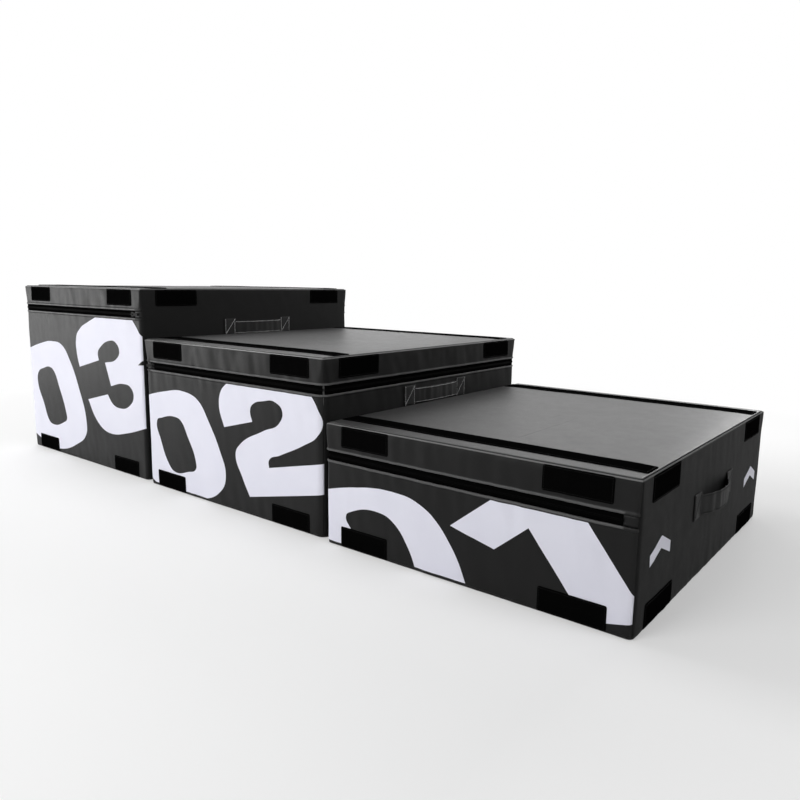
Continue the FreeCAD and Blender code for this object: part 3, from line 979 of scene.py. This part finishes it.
tooth_tree = repeat_tree("zip_teeth", "GeometryNodeMeshCube")
TAPE_FACE = -0.0011
TAPE_BACK = -0.0023
TAPE_TUCK = 0.001
LOWER_TAPE_GAP = 0.0004
UPPER_TAPE_GAP = 0.0007
SLIDER_EASE = 0.0004
PULL_EASE = 0.0003
for box in boxes:
    picks = box.zip_stations()
    for edge, low, high in (("lower", box.zip_foot - TAPE_TUCK, box.zip_middle - LOWER_TAPE_GAP),
                            ("upper", box.zip_middle + UPPER_TAPE_GAP, box.zip_top + TAPE_TUCK)):
        rows = [(TAPE_BACK, low, 0, 0)]
        rows += [(TAPE_FACE, low + (high - low) * step / 4, 0, 0) for step in range(5)]
        rows += [(TAPE_BACK, high, 0, 0)]
        tape = finished_piece(f"{box.name}_{edge}_zip_tape", *drawn_strip(box, picks, rows),
                              zip_weave.material)
        bead = box.surface(picks, TAPE_FACE + TOOTH_OUT, box.zip_middle + TOOTH_LINE[edge], 0)
        teeth = repeated(f"{box.name}_{edge}_zip_teeth", tooth_tree, [bead], TOOTH_PITCH, TOOTH_SIZE,
                         nylon.material)
        for piece in (tape, teeth):
            if edge == "upper":
                box.ride_lid(piece)
            else:
                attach(piece, box.name)
        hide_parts(f"{box.name}_zip_tape_{edge}")
    slider = eased_copy(f"{box.name}_zip_slider", f"{box.name}_slider_body", SLIDER_EASE,
                        slider_metal.material)
    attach(slider, f"slider_{box.number}")
    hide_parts(f"{box.name}_zip_slider")
    pull = eased_copy(f"{box.name}_zip_pull", f"{box.name}_pull_tab", PULL_EASE, slider_metal.material)
    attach(pull, f"pull_{box.number}")
    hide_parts(f"{box.name}_zip_pull")

# The handles
# A strap of the cover's heavy cloth, doubled and sewn, is fixed at both ends by slanting rows of stitches.
# Between the ends it is a little narrower and stands off the wall, so that a hand goes behind it.
strap_cloth = Finish("strap_cloth", {"Specular IOR Level": 0.16})
strap_weave = strap_cloth.node("ShaderNodeTexWave", {"bands_direction": "Y"},
                               {"Vector": strap_cloth.place, "Scale": 190, "Distortion": 0.2}, "Fac")
strap_weft = strap_cloth.node("ShaderNodeTexWave", {"bands_direction": "Z"},
                              {"Vector": strap_cloth.place, "Scale": 150, "Distortion": 0.2}, "Fac")
strap_cloth.feed(strap_cloth.shader, {
    "Base Color": strap_cloth.mixed(strap_cloth.cloud(20, 3), rgb(0.006), rgb(0.011)),
    "Roughness": 0.5 + 0.2 * strap_weave,
    "Normal": strap_cloth.relief(strap_weave + strap_weft, 0.0003, 0.5),
})
STRAP_THICK = 0.0025
STRAP_GAP = 0.0003
TAB_LENGTH = 0.046
TAB_STEP = 0.005
STRAP_TOP_STEP = 0.0085
STRAP_FOOT_STEP = 0.0035
EDGE_EASE = 0.0008
BOW_POWER = 2.2
WRINKLE = 0.0034
WRINKLES = 55
WRINKLE_START = 0.004
STEP_START = 0.001
STRAP_LENGTHS = 90
TAB_PLACES = (-0.004, -0.002, 0, 0.0012)


def strap_shape(box, side):
    """The strap's half length, the half length that stands off, its bow, and its lower and upper edge."""
    low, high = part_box(f"{box.name}_{side}_handle")
    half = (high.y - low.y) / 2
    return half, half - TAB_LENGTH, high.x - low.x - STRAP_THICK, low.z, high.z


def strap_at(box, side, along):
    """How far the strap stands off, and its lower and upper edge, at a place along it."""
    _, span, bow, low, high = strap_shape(box, side)
    stand = bow * (1 - abs(along / span) ** BOW_POWER) if abs(along) < span else 0.0
    wrinkle = noise.noise(Vector((WRINKLES * along + box.seed, 0, 3)))
    stand += WRINKLE * min(1, stand / WRINKLE_START) * wrinkle
    share = min(1, max(0, (span + STEP_START - abs(along)) / TAB_STEP))
    narrow = share * share * (3 - 2 * share)
    return stand, low + narrow * STRAP_FOOT_STEP, high - narrow * STRAP_TOP_STEP


def strap_mesh(box, side):
    """The doubled strap, drawn from end to end, with extra places where it steps in and leaves the wall."""
    half, span = strap_shape(box, side)[:2]
    places = {round(-half + 2 * half * i / STRAP_LENGTHS, 5) for i in range(STRAP_LENGTHS + 1)}
    places |= {round(way * (span + step), 5) for way in (-1, 1) for step in TAB_PLACES}
    places = sorted(places)
    points = []
    for along in places:
        stand, foot, head = strap_at(box, side, along)
        y = box.centre.y + along
        section = [(0, foot + EDGE_EASE), (EDGE_EASE, foot), (STRAP_THICK - EDGE_EASE, foot),
                   (STRAP_THICK, foot + EDGE_EASE)]
        section += [(STRAP_THICK, foot + (head - foot) * step / 10) for step in range(1, 10)]
        section += [(STRAP_THICK, head - EDGE_EASE), (STRAP_THICK - EDGE_EASE, head), (EDGE_EASE, head),
                    (0, head - EDGE_EASE)]
        section += [(0, head + (foot - head) * step / 4) for step in range(1, 4)]
        points += [tuple(box.spot(side, y, z, STRAP_GAP + stand + out)) for out, z in section]
    wide, tall = len(places), len(section)
    flip = side == "left"
    faces = []
    for i in range(wide - 1):
        for j in range(tall):
            upper = (j + 1) % tall
            quad = [i * tall + j, (i + 1) * tall + j, (i + 1) * tall + upper, i * tall + upper]
            faces.append(quad[::-1] if flip else quad)
    ends = [list(range(tall)), [(wide - 1) * tall + j for j in reversed(range(tall))]]
    faces += [end[::-1] if flip else end for end in ends]
    return points, faces


for box in boxes:
    for side in ("left", "right"):
        strap = finished_piece(f"{box.name}_{side}_strap", *strap_mesh(box, side), strap_cloth.material)
        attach(strap, box.name)
        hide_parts(f"{box.name}_{side}_handle")

# The stitching
# Polyester thread, lockstitched: black along the hems and round the tapes, and pale grey on the handles of
# the middle and tall box, where they show.
STITCH_PITCH = 0.0046
STITCH_SIZE = (0.0036, 0.0008, 0.0008)
BOLD_STITCH_SIZE = (0.0041, 0.0013, 0.0013)
BORDER_INSET = 0.003
HEM_STITCH_DROP = 0.0070
THREAD_SINK = 0.0001
TAB_SEAM_INSET = 0.004
TAB_SEAM_ENDS = (0.07, 0.93)
STRAP_SEAM_GAP = 0.003
STRAP_SEAM_SHARES = (0.08, 0.92)


def thread(name, dark, light):
    yarn = Finish(name, {"Specular IOR Level": 0.1})
    twist = yarn.node("ShaderNodeTexWave", {"bands_direction": "DIAGONAL"},
                      {"Vector": yarn.place, "Scale": 900, "Distortion": 0.3}, "Fac")
    yarn.feed(yarn.shader, {
        "Base Color": yarn.mixed(twist, rgb(dark), rgb(light)),
        "Roughness": 0.55 + 0.2 * twist,
    })
    return yarn.material


pale_thread = thread("pale_thread", 0.6, 0.85)
black_thread = thread("black_thread", 0.003, 0.008)
stitch_tree = repeat_tree("stitches", "GeometryNodeMeshUVSphere")


def run_of(point, start, end, step=0.006):
    """Points on the cover along a straight run between two places."""
    count = max(1, round(math.dist(start, end) / step))
    return [tuple(point(*(a + (b - a) * i / count for a, b in zip(start, end)))) for i in range(count + 1)]


def border(point, half_wide, half_tall):
    """Four runs round a piece of tape, inside its edge."""
    x, y = half_wide - BORDER_INSET, half_tall - BORDER_INSET
    corners = [(-x, -y), (x, -y), (x, y), (-x, y)]
    return [run_of(point, corners[i], corners[(i + 1) % 4]) for i in range(4)]


def pad_borders(box, node):
    """Stitches round each pad of a node."""
    lines = []
    for face, along, up, half_wide, half_tall, thick in tape_pads(box, node):
        def point(across, rise):
            return box.spot(face, along + across, up + rise, thick + THREAD_SINK)

        lines += border(point, half_wide, half_tall)
    return lines


def strap_seams(box, side):
    """Two uprights and a slant on each end, and a row along each edge between them."""
    half, span = strap_shape(box, side)[:2]

    def point(along, share):
        stand, foot, head = strap_at(box, side, along)
        return box.spot(side, box.centre.y + along, foot + share * (head - foot),
                        STRAP_GAP + stand + STRAP_THICK + THREAD_SINK)

    lines = []
    low, high = TAB_SEAM_ENDS
    for way in (-1, 1):
        near, far = way * (span + TAB_SEAM_INSET), way * (half - TAB_SEAM_INSET)
        lines += [run_of(point, start, end) for start, end in (
            ((near, low), (near, high)), ((far, low), (far, high)),
            ((min(near, far), low), (max(near, far), high)))]
    lines += [run_of(point, (-span + STRAP_SEAM_GAP, share), (span - STRAP_SEAM_GAP, share))
              for share in STRAP_SEAM_SHARES]
    return lines


for box in boxes:
    picks = box.zip_stations()
    body_lines = [box.surface(picks, -THREAD_SINK, box.zip_foot - HEM_STITCH_DROP)]
    body_lines += pad_borders(box, f"{box.name}_body_patches")
    lid_lines = [box.surface(picks, -THREAD_SINK, box.zip_top + HEM_STITCH_DROP)]
    lid_lines += pad_borders(box, f"{box.name}_lid_patches")
    for low, high in solids(f"{box.name}_top_strips"):
        middle, half = (low + high) / 2, (high - low) / 2

        def point(across, rise):
            return box.top_spot(middle.x + across, middle.y + rise, 2 * half.z + THREAD_SINK)

        lid_lines += border(point, half.x, half.y)
    stitches = repeated(f"{box.name}_wall_stitches", stitch_tree, body_lines, STITCH_PITCH, STITCH_SIZE,
                        black_thread)
    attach(stitches, box.name)
    stitches = repeated(f"{box.name}_lid_stitches", stitch_tree, lid_lines, STITCH_PITCH, STITCH_SIZE,
                        black_thread)
    box.ride_lid(stitches)
    # The low box's handles take the black thread, as painted shade for the shade those handles lie in.
    strap_thread = black_thread if box.number == "01" else pale_thread
    for side in ("left", "right"):
        stitches = repeated(f"{box.name}_{side}_strap_stitches", stitch_tree, strap_seams(box, side),
                            STITCH_PITCH, BOLD_STITCH_SIZE, strap_thread)
        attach(stitches, box.name)

# The numbers
# Each front carries its number in white ink, screen printed on the flat panel before it was sewn, so the
# seams and the hem cut it off. The low box also has two small chevrons on its right side.
ink = Finish("white_ink", {"Specular IOR Level": 0.25})
ink_grain = ink.cells(760)
ink_drift = ink.cloud(9, 4)
ink.feed(ink.shader, {
    "Base Color": ink.mixed(ink_drift, (0.78, 0.78, 0.88, 1), (0.86, 0.86, 0.95, 1)),
    "Roughness": 0.48 + 0.14 * ink_drift,
    "Normal": ink.relief(ink_grain, 0.00016, 0.45),
})
CORNER, ROUND = "VECTOR", "AUTO"
MM = 0.001
INK_THICK = 0.0003
PRINT_EDGE_SHARE = 0.27
PRINT_FOOT_GAP = 0.0040
PRINT_HEM_GAP = 0.0078
# each outline is a closed line of (across from the box's left edge, height, kind of point), in millimetres
NUMBERS = {
    "01": (
        [(-30, 127, CORNER), (95, 157, ROUND), (190, 168, ROUND), (288, 153, ROUND), (362, 89, ROUND),
         (411, -8, ROUND), (417, -30, CORNER), (-30, -30, CORNER)],
        [(104, -30, CORNER), (84, 46, ROUND), (65, 82, ROUND), (81, 95, ROUND), (165, 112, ROUND),
         (206, 99, ROUND), (249, 53, ROUND), (276, -9, ROUND), (280, -30, CORNER)],
        [(363, 127, CORNER), (477, 217, CORNER), (654, 217, CORNER), (769, 69, CORNER), (775, 36, CORNER),
         (669, 10, CORNER), (546, 164, CORNER), (471, 102, CORNER)],
    ),
    "02": (
        [(-30, 270, CORNER), (100, 300, ROUND), (186, 310, ROUND), (263, 291, ROUND), (311, 237, ROUND),
         (357, 161, ROUND), (380, 92, ROUND), (357, 44, ROUND), (246, 0, ROUND), (60, 0, ROUND),
         (-30, 46, CORNER)],
        [(54, 206, ROUND), (80, 218, ROUND), (150, 229, ROUND), (178, 221, ROUND), (207, 182, ROUND),
         (245, 108, ROUND), (244, 88, ROUND), (206, 72, ROUND), (134, 61, ROUND), (110, 77, ROUND),
         (70, 146, ROUND)],
        [(381, 231, CORNER), (360, 289, ROUND), (372, 333, ROUND), (417, 366, CORNER), (708, 366, CORNER),
         (739, 325, ROUND), (752, 288, ROUND), (739, 257, ROUND), (691, 227, ROUND), (604, 187, ROUND),
         (562, 167, ROUND), (562, 147, CORNER), (775, 194, CORNER), (775, 116, CORNER), (480, 52, CORNER),
         (451, 101, ROUND), (426, 163, ROUND), (447, 193, ROUND), (541, 242, ROUND), (604, 272, ROUND),
         (614, 303, ROUND), (587, 324, ROUND), (541, 321, ROUND), (502, 309, ROUND), (490, 293, ROUND),
         (498, 261, CORNER)],
    ),
    "03": (
        [(-30, 360, CORNER), (100, 394, ROUND), (187, 406, ROUND), (257, 396, ROUND), (310, 343, ROUND),
         (359, 256, ROUND), (397, 150, ROUND), (391, 100, ROUND), (317, 50, ROUND), (192, 15, ROUND),
         (80, 27, ROUND), (-30, 63, CORNER)],
        [(54, 262, ROUND), (68, 288, ROUND), (106, 303, ROUND), (160, 311, ROUND), (186, 300, ROUND),
         (219, 246, ROUND), (256, 160, ROUND), (259, 133, ROUND), (240, 120, ROUND), (145, 102, ROUND),
         (124, 114, ROUND), (96, 167, ROUND)],
        [(373, 330, CORNER), (361, 370, ROUND), (361, 430, ROUND), (389, 461, ROUND), (437, 483, ROUND),
         (545, 520, CORNER), (692, 520, CORNER), (721, 492, ROUND), (775, 434, CORNER), (775, 392, CORNER),
         (732, 364, CORNER), (775, 367, CORNER), (775, 172, CORNER), (650, 137, ROUND), (562, 123, ROUND),
         (510, 131, ROUND), (465, 160, ROUND), (420, 223, CORNER), (546, 253, CORNER), (573, 226, ROUND),
         (615, 215, ROUND), (674, 229, ROUND), (701, 263, ROUND), (686, 289, ROUND), (640, 297, ROUND),
         (570, 283, CORNER), (540, 357, CORNER), (612, 376, ROUND), (629, 402, ROUND), (610, 427, ROUND),
         (582, 432, ROUND), (512, 404, ROUND), (498, 388, ROUND), (502, 362, CORNER)],
    ),
}
CHEVRON = [(-60, -23, CORNER), (0, 0, CORNER), (54, -25, CORNER), (54, -48, CORNER), (0, -25, CORNER),
           (-57, -46, CORNER)]
CHEVRON_PEAKS = ((118, 168), (811, 165))
CHEVRON_SIDE_GAP = 0.01
CHEVRON_END_GAP = 0.02


def printed_shape(name, outlines, limits, weave, start):
    """Outlines filled, cut off at the limits and along the threads of a wall, and laid on it."""
    curve = bpy.data.curves.new(name, "CURVE")
    curve.dimensions = "2D"
    curve.fill_mode = "BOTH"
    curve.resolution_u = 12
    for outline in outlines:
        spline = curve.splines.new("BEZIER")
        spline.bezier_points.add(len(outline) - 1)
        for knot, (across, up, kind) in zip(spline.bezier_points, outline):
            knot.co = (across * MM, up * MM, 0)
            knot.handle_left_type = knot.handle_right_type = kind
        spline.use_cyclic_u = True
    drawn = placed(name, curve)
    flat = bpy.data.meshes.new_from_object(drawn.evaluated_get(bpy.context.evaluated_depsgraph_get()))
    bpy.data.objects.remove(drawn)
    film = bmesh.new()
    film.from_mesh(flat)
    bmesh.ops.remove_doubles(film, verts=film.verts, dist=1e-6)
    left, right, foot, head = limits
    cuts = [((left, 0, 0), (-1, 0, 0), True), ((right, 0, 0), (1, 0, 0), True),
            ((0, foot, 0), (0, -1, 0), True), ((0, head, 0), (0, 1, 0), True)]
    cuts += [((place - start, 0, 0), (1, 0, 0), False) for place in weave.places
             if left < place - start < right]
    cuts += [((0, height, 0), (0, 1, 0), False) for height in weave.heights if foot < height < head]
    for place, normal, clear in cuts:
        bmesh.ops.bisect_plane(film, geom=[*film.verts, *film.edges, *film.faces], plane_co=place,
                               plane_no=normal, clear_outer=clear)
    bmesh.ops.dissolve_degenerate(film, edges=film.edges, dist=1e-6)
    bmesh.ops.triangulate(film, faces=film.faces)
    for vert in film.verts:
        vert.co = weave.spot(start + vert.co.x, vert.co.y, INK_THICK)
    mesh = bpy.data.meshes.new(name)
    film.to_mesh(mesh)
    film.free()
    mesh.polygons.foreach_set("use_smooth", [True] * len(mesh.polygons))
    mesh.materials.append(ink.material)
    return placed(name, mesh)


for box in boxes:
    start = box.centre.x - box.plan.half_x
    print_edge = PRINT_EDGE_SHARE * box.plan.corner
    limits = (print_edge, 2 * box.plan.half_x - print_edge, WALL_FOOT + PRINT_FOOT_GAP,
              box.zip_foot - PRINT_HEM_GAP)
    number = printed_shape(f"{box.name}_number", NUMBERS[box.number], limits, box.weaves["front"], start)
    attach(number, box.name)

low_box = boxes[0]
chevrons = printed_shape("box_01_chevrons",
                         [[(peak + across, rise + up, kind) for across, up, kind in CHEVRON]
                          for peak, rise in CHEVRON_PEAKS],
                         (CHEVRON_SIDE_GAP, 2 * low_box.plan.half_y - CHEVRON_SIDE_GAP,
                          CHEVRON_END_GAP, low_box.height - CHEVRON_END_GAP),
                         low_box.weaves["right"], low_box.centre.y - low_box.plan.half_y)
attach(chevrons, low_box.name)

# The studio
# A plain white floor and surround, with soft lamps all round and overhead, and the camera where the
# photograph was taken from.
FLOOR_HALF = 30
BACKDROP_PLACE = 7.0
BACKDROP_RIGHT = 2
BACKDROP_HEIGHT = 16
SHADOW_KEPT = 0.65
SHADOW_FADE = (1.4, 2.6)
SURROUND_LIGHT = 0.12


def seen_directly(finish):
    """1 for rays from the camera, from reflections and through glass, and 0 for all other light."""
    path = finish.tree.nodes.new("ShaderNodeLightPath").outputs
    eye, mirror, glass = (Value(finish, path[f"Is {ray} Ray"])
                          for ray in ("Camera", "Glossy", "Transmission"))
    return eye.maths("MAXIMUM", eye, mirror.maths("MAXIMUM", mirror, glass))


def far_off(white):
    """The share of plain white on the floor: lower near the boxes, where it keeps some of their shadow."""
    away = white.node("ShaderNodeVectorMath", {"operation": "LENGTH"}, {0: white.place}, "Value")
    return white.node("ShaderNodeMapRange", {"interpolation_type": "SMOOTHSTEP"},
                      {"Value": away, "From Min": SHADOW_FADE[0], "From Max": SHADOW_FADE[1],
                       "To Min": 1 - SHADOW_KEPT, "To Max": 1.0})


def studio_white(name, keeps_shadow):
    """Matt white that the camera, reflections and glass see as plain white, but for the shadows it keeps."""
    white = Finish(name, {"Specular IOR Level": 0.0, "Roughness": 1.0, "Base Color": rgb(0.93)})
    share = seen_directly(white)
    if keeps_shadow:
        share = far_off(white) * share
    glow = white.node("ShaderNodeEmission", None, {"Color": rgb(1.0), "Strength": 1.0})
    lit = Value(white, white.shader.outputs[0])
    mixed = white.node("ShaderNodeMixShader", None, {0: share, 1: lit, 2: glow})
    white.feed(white.tree.nodes["Material Output"], {"Surface": mixed})
    return white.material


def staged(name, corners, material):
    """One flat face of the studio."""
    finished_piece(name, corners, [(0, 1, 2, 3)], material)


staged("floor", [(-FLOOR_HALF, -FLOOR_HALF, 0), (FLOOR_HALF, -FLOOR_HALF, 0), (FLOOR_HALF, FLOOR_HALF, 0),
                 (-FLOOR_HALF, FLOOR_HALF, 0)], studio_white("studio_floor", True))
staged("backdrop", [(-FLOOR_HALF, BACKDROP_PLACE, 0), (BACKDROP_RIGHT, BACKDROP_PLACE, 0),
                    (BACKDROP_RIGHT, BACKDROP_PLACE, BACKDROP_HEIGHT),
                    (-FLOOR_HALF, BACKDROP_PLACE, BACKDROP_HEIGHT)], studio_white("studio_backdrop", False))


class Surround(Finish):
    """The world round the studio, whose shader is a plain background."""

    def __init__(self, name, constants):
        self.world = bpy.data.worlds.new(name)
        self.world.use_nodes = True
        self.tree = self.world.node_tree
        self.shader = self.tree.nodes["Background"]
        self.feed(self.shader, constants)


surround = Surround("studio_surround", {"Color": rgb(1.0)})
surround.feed(surround.shader, {"Strength": SURROUND_LIGHT + (1 - SURROUND_LIGHT) * seen_directly(surround)})
bpy.context.scene.world = surround.world


def soft_light(name, place, aim, wide, tall, power):
    """A large lamp, out of the camera's sight, that points at a place."""
    lamp = bpy.data.lights.new(name, "AREA")
    lamp.shape = "RECTANGLE"
    lamp.size, lamp.size_y = wide, tall
    lamp.energy = power
    light = placed(name, lamp)
    light.location = place
    light.rotation_euler = (Vector(aim) - Vector(place)).to_track_quat("-Z", "Y").to_euler()
    light.visible_camera = False


soft_light("key_softbox", (0.1, -2.5, 1.7), (0, 0, 0.2), 1.6, 1.6, 34)
soft_light("left_softbox", (-3.0, -2.0, 0.46), (-0.6, 0, 0.3), 1.8, 0.8, 25)
soft_light("right_softbox", (1.0, 2.2, 1.3), (-0.4, 0, 0.6), 0.9, 0.9, 20)
soft_light("rear_softbox", (-0.2, 2.0, 1.7), (0.1, 0, 0.3), 1.2, 1.2, 8)
soft_light("back_softbox", (-2.2, 2.6, 0.95), (-0.1, 0, 0.5), 1.4, 0.7, 6)
soft_light("side_softbox", (3.2, -0.2, 2.2), (1.1, 0, 0.2), 1.2, 1.2, 18)
soft_light("overhead_softbox", (-1.9, -0.2, 2.3), (-0.1, -0.1, 0.4), 1.3, 1.3, 42)

LENS = 31.85
SENSOR = 36
CAMERA_PLACE = (1.56341, -1.65017, 0.62824)
YAW, PITCH, ROLL = 0.6709, -0.1642, 0.0141
camera_data = bpy.data.cameras.new("camera")
camera_data.lens = LENS
camera_data.sensor_width = SENSOR
camera_data.clip_start = 0.05
camera = placed("camera", camera_data)
ahead = Vector((-math.sin(YAW) * math.cos(PITCH), math.cos(YAW) * math.cos(PITCH), math.sin(PITCH)))
level = Vector((math.cos(YAW), math.sin(YAW), 0))
upright = level.cross(ahead)
right = math.cos(ROLL) * level + math.sin(ROLL) * upright
up = math.cos(ROLL) * upright - math.sin(ROLL) * level
camera.matrix_world = Matrix.Translation(CAMERA_PLACE) @ Matrix((right, up, -ahead)).transposed().to_4x4()
bpy.context.scene.camera = camera
bpy.context.scene.view_settings.view_transform = "Standard"
